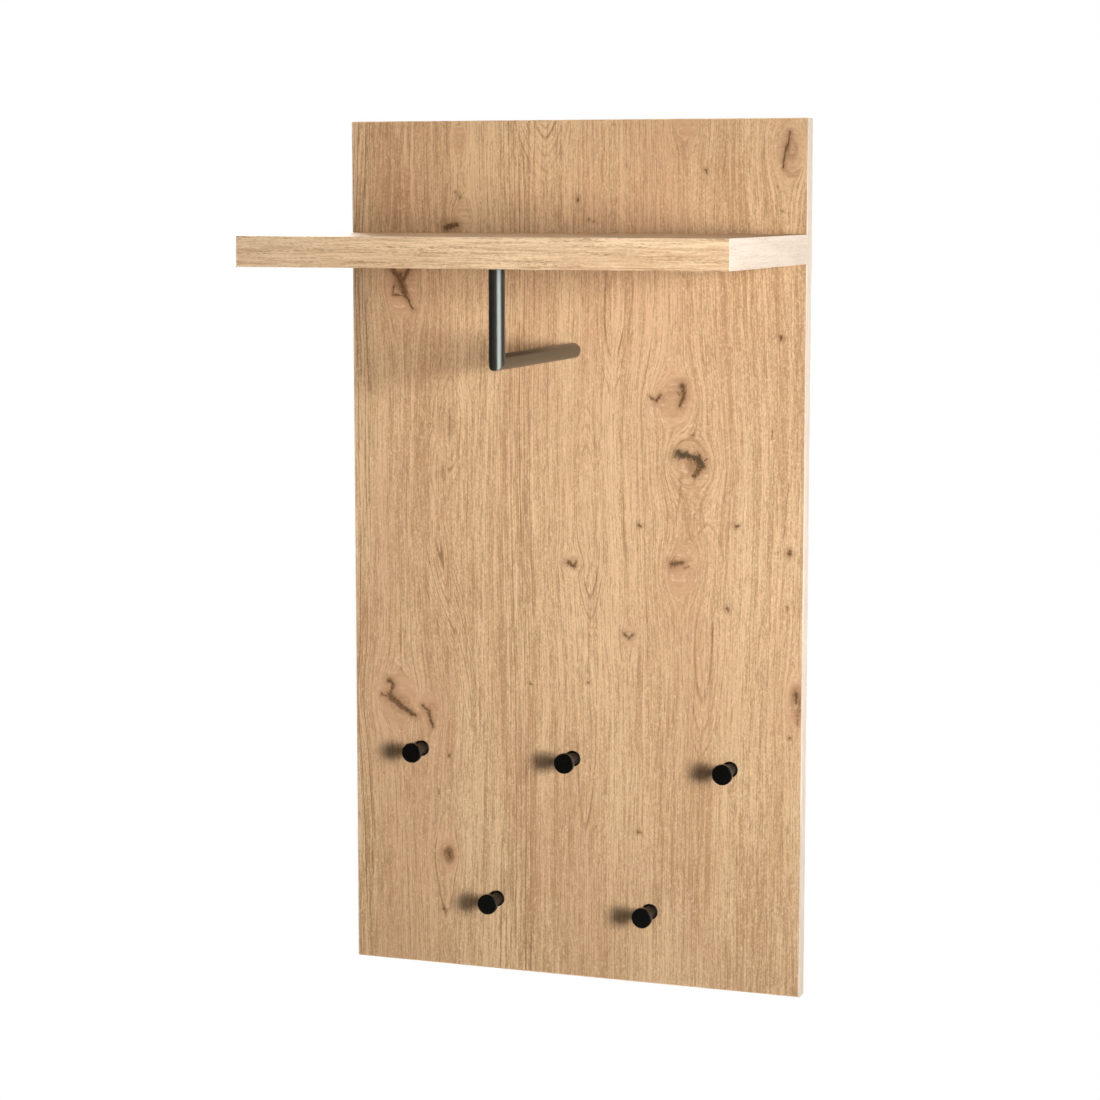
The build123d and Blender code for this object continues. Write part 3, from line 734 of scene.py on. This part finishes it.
def mitredTube(name, node, turned):
    # turned swaps the upright tube's Y and Z, which makes the level tube that goes back from the corner
    low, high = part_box(node)
    radius = (high.x - low.x) / 2
    middle = (low.x + high.x) / 2
    cornerY, cornerZ = railCorner
    far = (high.y - cornerY) if turned else (high.z - cornerZ)
    inner = radius - rail["wall"]
    # radius of each ring and how far it stands from the mitre; None is the tube's square end
    section = [(radius, None), (radius, rail["grooveHalfWidth"]), (radius - rail["grooveDepth"], 0.0),
               (inner, 0.0), (inner, None)]
    form = bmesh.new()
    rings = []
    for size, gap in section:
        ring = []
        for step in range(rail["segments"]):
            angle = 2 * math.pi * step / rail["segments"]
            aside, over = size * math.cos(angle), size * math.sin(angle)
            reach = far if gap is None else over + gap
            y, z = (reach, over) if turned else (over, reach)
            ring.append(form.verts.new((middle + aside, cornerY + y, cornerZ + z)))
        rings.append(ring)
    for number, ring in enumerate(rings):
        after = rings[(number + 1) % len(rings)]
        for step in range(len(ring)):
            beside = (step + 1) % len(ring)
            form.faces.new((ring[step], ring[beside], after[beside], after[step]))
    bmesh.ops.recalc_face_normals(form, faces=form.faces)
    return finished(name, form, rail["crease"])


def finished(name, form, crease):
    # smooth faces, with creases where the surface turns by more than the given degrees
    for face in form.faces:
        face.smooth = True
    for edge in form.edges:
        edge.smooth = edge.calc_face_angle(0.0) < math.radians(crease)
    mesh = bpy.data.meshes.new(name)
    form.to_mesh(mesh)
    form.free()
    piece = bpy.data.objects.new(name, mesh)
    bpy.context.scene.collection.objects.link(piece)
    return piece


uprightLow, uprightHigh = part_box("rail_upright_tube")
levelLow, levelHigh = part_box("rail_level_tube")
railCorner = ((uprightLow.y + uprightHigh.y) / 2, (levelLow.z + levelHigh.z) / 2)
for name, node, turned in (("rail_upright", "rail_upright_tube", False),
                           ("rail_level", "rail_level_tube", True)):
    tube = mitredTube(name, node, turned)
    tube.data.materials.append(anthracite)
    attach(tube, "root")
    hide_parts(node)
print("rail made")

# the coat knobs: one turned outline, from the screw hole's bottom round the outside to the middle of the face
# footSlope and collarSlope are how steeply the neck leaves the base and meets the head
knob = dict(holeRadius=0.0020, holeDepth=0.0140, baseRadius=0.01025, baseThickness=0.0022, baseRound=0.0006,
            shoulder=0.0016, waistRadius=0.0065, waistHeight=0.0150, headRadius=0.0130, headThickness=0.0065,
            headRound=0.0010, headOverhang=0.0034, length=0.0370, footSlope=-0.55, collarSlope=0.60,
            footSteps=14, collarSteps=16, cornerSteps=5, segments=72, crease=35, merge=0.000001)


def corner(middleRadius, middleHeight, size, start, end):
    # points of a rounded corner, from one angle to another in degrees
    last = knob["cornerSteps"] - 1
    angles = [math.radians(start + (end - start) * step / last) for step in range(last + 1)]
    return [(middleRadius + size * math.cos(angle), middleHeight + size * math.sin(angle))
            for angle in angles]


def sweepBetween(start, startSlope, end, endSlope, count):
    # radius against height from one end to the other, with the given slopes
    span = end[1] - start[1]
    points = []
    for step in range(1, count):
        t = step / count
        radius = (start[0] * (2 * t ** 3 - 3 * t ** 2 + 1) + startSlope * span * (t ** 3 - 2 * t ** 2 + t)
                  + end[0] * (3 * t ** 2 - 2 * t ** 3) + endSlope * span * (t ** 3 - t ** 2))
        points.append((radius, start[1] + span * t))
    return points


def knobOutline():
    k = knob
    headBack = k["length"] - k["headThickness"]
    foot = (k["baseRadius"] - k["shoulder"], k["baseThickness"])
    waist = (k["waistRadius"], k["waistHeight"])
    collar = (k["headRadius"] - k["headOverhang"], headBack)
    outline = [(0.0, k["holeDepth"]), (k["holeRadius"], k["holeDepth"]), (k["holeRadius"], 0.0),
               (k["baseRadius"], 0.0)]
    outline += corner(k["baseRadius"] - k["baseRound"], k["baseThickness"] - k["baseRound"],
                      k["baseRound"], 0, 90)
    outline += [foot] + sweepBetween(foot, k["footSlope"], waist, 0.0, k["footSteps"]) + [waist]
    outline += sweepBetween(waist, 0.0, collar, k["collarSlope"], k["collarSteps"]) + [collar]
    inner = k["headRadius"] - k["headRound"]
    outline += corner(inner, headBack + k["headRound"], k["headRound"], -90, 0)
    outline += corner(inner, k["length"] - k["headRound"], k["headRound"], 0, 90)
    outline += [(inner * 0.5, k["length"]), (0.0, k["length"])]
    return outline


def turningTree():
    # turns an outline (radius in X, height in Z) round its axis and stands it on the board at a place
    tree = bpy.data.node_groups.new("turned piece", "GeometryNodeTree")
    sheet = Sheet(tree)
    sockets = tree.interface
    sockets.new_socket("Outline", in_out="INPUT", socket_type="NodeSocketGeometry")
    inputs = {}
    for label, kind in (("Segments", "Int"), ("Place", "Vector"), ("Crease Angle", "Float"),
                        ("Merge Distance", "Float"), ("Finish", "Material")):
        inputs[label] = sockets.new_socket(label, in_out="INPUT", socket_type="NodeSocket" + kind).identifier
    sockets.new_socket("Turned", in_out="OUTPUT", socket_type="NodeSocketGeometry")
    given = {label: sheet.node("NodeGroupInput", out=label) for label in ("Outline", *inputs)}
    count = sheet.node("GeometryNodeAttributeDomainSize", dict(component="MESH"), [given["Outline"]],
                       out="Point Count")
    grid = sheet.node("GeometryNodeMeshGrid", {}, {"Size X": 1.0, "Size Y": 1.0, "Vertices X": count,
                                                   "Vertices Y": given["Segments"] + 1})
    place = sheet.node("GeometryNodeInputPosition")
    x, y, z = sheet.axes(place)
    number = ((x + 0.5) * (count - 1)).math("ROUND")
    sample = sheet.node("GeometryNodeSampleIndex", dict(data_type="FLOAT_VECTOR", domain="POINT"),
                        {"Geometry": given["Outline"], "Value": place, "Index": number})
    radius, _, height = sheet.axes(sample)
    angle = (y + 0.5) * (2 * math.pi)
    spot = sheet.point(radius * angle.math("COSINE"), -height, radius * angle.math("SINE"))
    spot = sheet.node("ShaderNodeVectorMath", dict(operation="ADD"), [spot, given["Place"]])
    turned = sheet.node("GeometryNodeSetPosition", {}, {"Geometry": grid, "Position": spot})
    turned = sheet.node("GeometryNodeMergeByDistance", {},
                        {"Geometry": turned, "Distance": given["Merge Distance"]})
    bend = sheet.node("GeometryNodeInputMeshEdgeAngle", out="Unsigned Angle")
    soft = sheet.node("FunctionNodeCompare", dict(data_type="FLOAT", operation="LESS_THAN"),
                      {"A": bend, "B": given["Crease Angle"]})
    turned = sheet.node("GeometryNodeSetShadeSmooth", dict(domain="EDGE"),
                        {"Geometry": turned, "Shade Smooth": soft})
    turned = sheet.node("GeometryNodeRealizeInstances", {}, [turned])
    turned = sheet.node("GeometryNodeSetMaterial", {}, {"Geometry": turned, "Material": given["Finish"]})
    sheet.node("NodeGroupOutput", {}, [turned])
    return tree, inputs


turning, turningInputs = turningTree()


def turnedPiece(name, outline, values):
    # runs the tree on one outline and keeps the result as a plain mesh
    points = [(radius, 0.0, height) for radius, height in outline]
    blank = bpy.data.meshes.new(name + " outline")
    blank.from_pydata(points, [(step, step + 1) for step in range(len(points) - 1)], [])
    maker = bpy.data.objects.new(name + " outline", blank)
    bpy.context.scene.collection.objects.link(maker)
    modifier = maker.modifiers.new("turning", "NODES")
    modifier.node_group = turning
    for label, value in values.items():
        modifier[turningInputs[label]] = value
    bpy.context.view_layer.update()
    made = bpy.data.meshes.new_from_object(maker.evaluated_get(bpy.context.evaluated_depsgraph_get()))
    maker.modifiers.remove(modifier)
    bpy.data.objects.remove(maker)
    form = bmesh.new()
    form.from_mesh(made)
    if form.calc_volume(signed=True) < 0:
        bmesh.ops.reverse_faces(form, faces=form.faces)
    form.to_mesh(made)
    form.free()
    made.name = name
    piece = bpy.data.objects.new(name, made)
    bpy.context.scene.collection.objects.link(piece)
    return piece


knobHardware = ("knob_screws", "knob_washers")
for node in [node for node in nodes if node.startswith("knob_") and node not in knobHardware]:
    low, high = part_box(node)
    place = ((low.x + high.x) / 2, panelLow.y, (low.z + high.z) / 2)
    values = {"Segments": knob["segments"], "Place": place, "Crease Angle": math.radians(knob["crease"]),
              "Merge Distance": knob["merge"], "Finish": black}
    piece = turnedPiece("coat_" + node, knobOutline(), values)
    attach(piece, "root")
    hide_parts(node)
print("coat knobs turned")

low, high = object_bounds()
